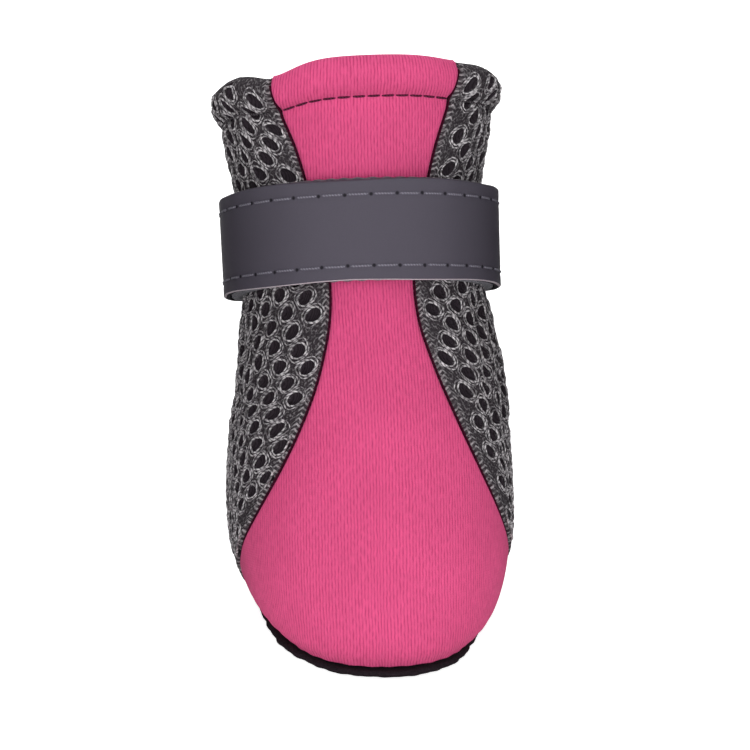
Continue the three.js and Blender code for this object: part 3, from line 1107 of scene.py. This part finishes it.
def buildStrapFace():
    half = strap["width"] / 2
    radius = strap["edgeRadius"]
    edge = half - radius * (1 - np.sin(np.linspace(0, math.pi / 2, 7)))
    middle = np.linspace(-half + radius, half - radius, strap["rows"])[1:-1]
    across = np.concatenate([-edge[::-1], middle, edge])
    past = np.clip((np.abs(across) - (half - radius)) / radius, 0, 1)
    drop = radius * (1 - np.sqrt(1 - past**2))
    groove = 0.1 * np.exp(-(((np.abs(across) - needleRow) / 0.55) ** 2))
    fromEnd = np.minimum(faceArc, faceArc[-1] - faceArc)
    endDrop = 0.35 * (1 - np.sqrt(1 - np.clip(1 - fromEnd / 0.5, 0, 1) ** 2))
    ripple = 0.05 * np.sin(faceArc * 0.9)[None, :] * (np.abs(across)[:, None] / half) ** 2
    out = faceTop - drop[:, None] - groove[:, None] - endDrop[None, :] + ripple
    sway = 0.12 * np.sin(faceArc * 0.23 + 0.5)[None, :] * (across[:, None] / half)
    outer = strapPoint(faceTurns[None, :], across[:, None] + sway, out)
    inner = strapPoint(faceTurns[None, :], across[:, None] + sway, np.full_like(out, faceBase))
    flat = np.stack(np.broadcast_arrays(faceArc[None, :] - strap["stitchFromEnd"], across[:, None]), -1)
    picks = np.repeat([1, 0, 2], [4, len(across) - 4, len(across)])  # pale core along the lower edge only, partly the tape's core and partly a painted highlight
    # the pale lower edge is partly the tape's own core and partly a painted highlight
    core = fuzzy("tape core and painted highlight", tone(206, 196, 202), tone(150, 140, 148), 0.35, 0.08)
    under = fuzzy("tape underside", tone(58, 55, 62), tone(34, 32, 37), 0.35, 0.08)
    materials = (strapTape(needlePitch, needleRow), core, under)
    flat = np.concatenate([flat, flat[::-1]])
    return shell("strapFace", outer, inner, False, flat, None, materials, picks)


def buildStrapBacking():
    turns = np.linspace(-math.pi, math.pi, strap["pileColumns"] + 1)[:-1]
    half = strap["width"] / 2 + strap["overhang"] / 4
    across = np.concatenate([[-half], np.linspace(-half + 0.12, half - 0.12, 40), [half]])
    edgeDrop = np.where(np.abs(across) > half - 0.05, 0.3, 0.0)
    tufts = rng.normal(0, 0.05, (len(across), len(turns)))
    bare = (turns > math.radians(strap["sewnEnd"])) | (turns < math.radians(strap["freeEnd"]))
    nap = np.where(bare, strap["nap"], 0.0)[None, :] * (1 - (np.abs(across)[:, None] / half) ** 8)
    atEdge = (np.abs(across) > half - 0.2)[:, None]
    fray = strap["fray"] * np.sin(turns * 61)[None, :] * atEdge * np.sign(across)[:, None]
    out = strap["backing"] - edgeDrop[:, None] + (tufts + nap) * (np.abs(across)[:, None] < half - 0.2)
    outer = strapPoint(turns[None, :], across[:, None] + fray, np.minimum(out, strap["backing"] + 0.22))
    inner = strapPoint(turns[None, :], across[:, None] + fray, np.full_like(out, -strap["pileDepth"]))
    material = fuzzy("loop pile", tone(96, 92, 106), tone(50, 47, 60), 0.3, 0.25, sheen=0.4)
    return shell("strapBacking", outer, inner, True, materials=(material,))


def buildStrapStitches():
    def row(across):
        def line(share):
            turn = np.interp(strap["stitchFromEnd"] + share * sewnLength, faceArc, faceTurns)
            return strapPoint(turn, np.full_like(turn, across), faceTop - 0.1), strapNormal(turn)
        return line

    def endRow(arc):
        turn = float(np.interp(arc, faceArc, faceTurns))

        def line(share):
            turns = np.full_like(share, turn)
            return strapPoint(turns, (share - 0.5) * (2 * needleRow), faceTop - 0.02), strapNormal(turns)
        return line

    lines = [row(needleRow), row(-needleRow)]
    lines += [endRow(arc) for arc in (2.6, faceArc[-1] - 2.6, faceArc[-1] - 12)]
    rows = [stitchRow(line, strap["stitchLength"], strap["stitchGap"], lift=0.1) for line in lines]
    material = thread("strap thread", tone(134, 131, 143), tone(96, 93, 104))
    return stitchPiece("strapStitches", rows, material)


# sole and insole
sole = {
    "thickness": 1.6,
    "lip": 0.5,
    "showLeft": -0.5,
    "tuckRight": 1.0,
    "columns": 220,
    "dotPitch": 3.4,
    "dotRadius": 1.05,
    "dotRise": 0.35,
    "dotMargin": 0.9,
    "dotSides": 16,
    "dotShape": [(1.0, 0.42), (0.96, 0.24), (0.82, 0.08), (0.6, 0.0)],  # share of the radius, height
}
insole = {"thickness": 1.5, "fromWall": 0.3, "columns": 160}


def seamOutline(turn, out):
    zero = np.zeros(len(turn))
    return lastPoint(zero, turn) + lastNormal(zero, turn) * np.asarray(out)[..., None]


def stack(name, loops, firstMiddle, lastMiddle, material):
    levels, columns = loops.shape[:2]
    points = np.concatenate([loops.reshape(-1, 3), [firstMiddle, lastMiddle]])
    first = levels * columns
    c = np.arange(columns)
    n = (c + 1) % columns
    faces = [(first, b, a) for a, b in zip(c, n)]
    for level in range(levels - 1):
        low, high = level * columns, (level + 1) * columns
        faces += [(low + a, low + b, high + b, high + a) for a, b in zip(c, n)]
    end = (levels - 1) * columns
    faces += [(first + 1, end + a, end + b) for a, b in zip(c, n)]
    return makeMesh(name, points, faces, materials=(material,))


def levelLoops(levels, columns, out, waver):
    turn = evenTurns(columns)
    loops = []
    for share, inset, height, ripple in levels:
        edge = seamOutline(turn, out(turn) - inset + ripple * waver(turn))
        x, y = edge[:, 0] * share, edge[:, 1] * share
        loops.append(np.stack([x, y, height + toeLift(y)], -1))
    return np.array(loops)


def soleReach(turn):  # the lip is drawn in under the leaning toe, most at its right
    swing = np.degrees((turn + math.pi) % (2 * math.pi) - math.pi)
    left = np.exp(-(((swing + 35) / 28) ** 2))
    right = np.exp(-(((swing - 55) / 32) ** 2))
    return sole["lip"] + sole["showLeft"] * left - sole["tuckRight"] * right


def soleWaver(turn):  # the cut edge is a little ragged
    return 0.12 * np.sin(11 * turn) + 0.11 * np.sin(29 * turn + 1) + 0.09 * np.sin(53 * turn + 2)


def buildSole():
    rise, thick = sole["dotRise"], sole["thickness"]
    # share of the outline, inset, height and how much the cut edge wavers
    levels = [(s, 0.0, rise, 0) for s in (0.15, 0.3, 0.45, 0.6, 0.75, 0.86, 0.94)]
    levels += [(1, 1.0, rise - 0.1, 0.3), (1, 0.4, 0.36, 1), (1, 0.12, 0.6, 1), (1, 0, 0.9, 1)]
    levels += [(1, 0.05, 1.2, 1), (1, 0.25, 1.45, 0.8), (1, 0.7, thick, 0.4)]
    levels += [(s, 0.0, thick, 0) for s in (0.92, 0.8, 0.6, 0.4, 0.2)]
    loops = levelLoops(levels, sole["columns"], soleReach, soleWaver)
    base = fuzzy("sole cloth", tone(44, 35, 41), tone(17, 12, 16), 0.5, 0.3)
    return stack("outsole.dressed", loops, (0, 0, rise), (0, 0, thick), base)


def dotSpots():  # a close-packed field of dots, clear of the sole's edge
    turn = evenTurns(sole["columns"])
    edge = seamOutline(turn, soleReach(turn))[:, :2]
    side = np.roll(edge, -1, 0) - edge
    inward = np.stack([-side[:, 1], side[:, 0]], -1) / np.linalg.norm(side, axis=-1, keepdims=True)
    inward = inward * np.sign(-(inward * edge).sum())
    spots = []
    for j in range(-12, 13):
        for i in range(-10, 11):
            spot = np.array([i + 0.5 * (j % 2), j * math.sqrt(3) / 2]) * sole["dotPitch"]
            if ((spot - edge) * inward).sum(-1).min() > sole["dotRadius"] + sole["dotMargin"]:
                spots.append(spot)
    return spots


def buildSoleDots():  # low rubber domes under the sole, their crowns on the floor
    sides, shape = sole["dotSides"], sole["dotShape"]
    points, faces = [], []
    for x, y in dotSpots():
        start = len(points)
        for share, height in shape:
            for a in evenTurns(sides):
                radius = sole["dotRadius"] * share
                px, py = x + radius * math.cos(a), y + radius * math.sin(a)
                points.append((px, py, height + float(toeLift(np.array(py)))))
        for level in range(len(shape) - 1):
            low, high = start + level * sides, start + (level + 1) * sides
            for k in range(sides):
                n = (k + 1) % sides
                faces.append((low + k, high + k, high + n, low + n))
        faces.append([start + k for k in range(sides)])
        faces.append([len(points) - 1 - k for k in range(sides)])
    return makeMesh("soleDots", points, faces, materials=(gripRubber(),))


def insoleReach(turn):
    return np.full(turn.shape, -wall["mesh"] - insole["fromWall"])


def insoleWaver(turn):
    return 0.05 * np.sin(37 * turn)


def buildInsole():
    bottom = last["seamHeight"]
    top = bottom + insole["thickness"]
    crown = [(0.95, 0.0), (0.86, 0.06), (0.7, 0.1), (0.5, 0.08), (0.25, 0.05)]
    levels = [(s, 0.0, bottom, 0) for s in (0.3, 0.7, 0.94)]
    levels += [(1, 0.3, bottom, 0), (1, 0.0, bottom + 0.6, 1)]
    levels += [(1, 0.05, top - 0.45, 1), (1, 0.4, top - 0.1, 0.5)]
    levels += [(s, 0.0, top + r, 0) for s, r in crown]
    loops = levelLoops(levels, insole["columns"], insoleReach, insoleWaver)
    felt = fuzzy("insole felt", tone(92, 87, 92), tone(54, 50, 54), 0.45, 0.25, sheen=0.3)
    return stack("insole.dressed", loops, (0, 0, bottom), (0, 0, top + 0.05), felt)


def settle(piece, node):
    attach(piece, "root")
    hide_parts(node)


settle(buildUpper(), "upper")
settle(buildRings(), "upper")
settle(buildWeb(), "upper")
settle(buildSeamBead(), "front_panel")
print("upper and its mesh made")
settle(buildPanel(), "front_panel")
hemStitches, collarStitches = buildHemStitches()
settle(hemStitches, "front_panel")
settle(collarStitches, "upper")
print("front panel sewn in")
settle(buildStrapFace(), "strap_face")
settle(buildStrapBacking(), "strap_backing")
settle(buildStrapStitches(), "strap_face")
print("strap fastened")
settle(buildSole(), "outsole")
settle(buildSoleDots(), "outsole")
settle(buildInsole(), "insole")
print("sole and insole made")


# floor, light and camera
studio = {
    "floorRadius": 3.0,
    "sky": 0.3,
    "glow": 0.8,
    "key": {"place": (-0.12, -1.05, 0.34), "size": 0.8, "watts": 5.4},
    "left": {"place": (-0.9, -0.6, 0.3), "size": 0.6, "watts": 5},
    "right": {"place": (0.9, -0.6, 0.3), "size": 0.6, "watts": 4.5},
    "rear": {"place": (0.0, 0.8, 0.8), "size": 0.8, "watts": 7},
    "top": {"place": (0.0, 0.1, 2.4), "size": 2.4, "watts": 9},
    "flag": {"apart": 0.14, "front": -0.035, "back": 0.09, "height": 0.095},
}
view = {
    "elevation": 22,
    "azimuth": -6,
    "roll": -0.7,
    "distance": 0.45,
    "target": (0, 0, 0.0445),
    "field": 0.128,
}


def buildFloor():
    count = 96
    angle = evenTurns(count)
    circle = np.stack([np.cos(angle), np.sin(angle), np.zeros(count)], -1)
    radii = [0.1, 0.4, 1.2, studio["floorRadius"]]
    points = np.concatenate([circle * r for r in radii] + [np.zeros((1, 3))]) / mm
    faces = [(count * len(radii), k, (k + 1) % count) for k in range(count)]
    for level in range(len(radii) - 1):
        low, high = level * count, level * count + count
        faces += [(low + k, high + k, high + (k + 1) % count, low + (k + 1) % count) for k in range(count)]
    material, tree, sockets = newMaterial("pale floor", 0.9, specular=0.1)
    shade = blendColour(tree, noise(tree, objectSpot(tree), 3.0), tone(228, 228, 228), tone(231, 231, 231))
    tree.links.new(shade, sockets["Base Color"])
    # the floor glows for the camera alone, so that it throws little light on the boot's sides
    seen = tree.nodes.new("ShaderNodeLightPath").outputs["Is Camera Ray"]
    sockets["Emission Color"].default_value = (1, 1, 1, 1)
    tree.links.new(calc(tree, "MULTIPLY", seen, studio["glow"]), sockets["Emission Strength"])
    floor = makeMesh("floor", points, faces, materials=(material,))


def buildFlags():  # dark boards that keep stray light off the boot's sides, unseen by the camera
    flag = studio["flag"]
    material, _, sockets = newMaterial("flag cloth", 0.95, specular=0.05)
    sockets["Base Color"].default_value = tone(38, 34, 38)
    for side in (-1, 1):
        x = side * flag["apart"] / 2
        low = [(x, flag["front"], 0), (x, flag["back"], 0)]
        high = [(x, flag["back"], flag["height"]), (x, flag["front"], flag["height"])]
        board = makeMesh("flag", np.array(low + high) / mm, [(0, 1, 2, 3)], materials=(material,))
        board.visible_camera = False


def addLight(name, given):
    lamp = bpy.data.lights.new(name, "AREA")
    lamp.size = given["size"]
    lamp.energy = given["watts"]
    light = bpy.data.objects.new(name, lamp)
    light.location = given["place"]
    aim = Vector(view["target"]) - light.location
    light.rotation_euler = aim.to_track_quat("-Z", "Y").to_euler()
    bpy.context.scene.collection.objects.link(light)


def addCamera():
    lens = bpy.data.cameras.new("camera")
    lens.lens = lens.sensor_width * view["distance"] / view["field"]
    lens.clip_start = 0.01
    camera = bpy.data.objects.new("camera", lens)
    up, turn = math.radians(view["elevation"]), math.radians(view["azimuth"])
    back = Vector((math.sin(turn) * math.cos(up), -math.cos(turn) * math.cos(up), math.sin(up)))
    camera.location = Vector(view["target"]) + back * view["distance"]
    level = (-back).to_track_quat("-Z", "Y")
    camera.rotation_euler = (level @ Quaternion((0, 0, 1), math.radians(view["roll"]))).to_euler()
    bpy.context.scene.collection.objects.link(camera)
    bpy.context.scene.camera = camera


buildFloor()
buildFlags()
for lightName in ("key", "left", "right", "rear", "top"):
    addLight(lightName, studio[lightName])
addCamera()
world = bpy.data.worlds.new("studio")
world.use_nodes = True
world.node_tree.nodes["Background"].inputs["Strength"].default_value = studio["sky"]
world.node_tree.nodes["Background"].inputs["Color"].default_value = (1, 1, 1, 1)
bpy.context.scene.world = world
bpy.context.scene.view_settings.view_transform = "Standard"
print("studio set")
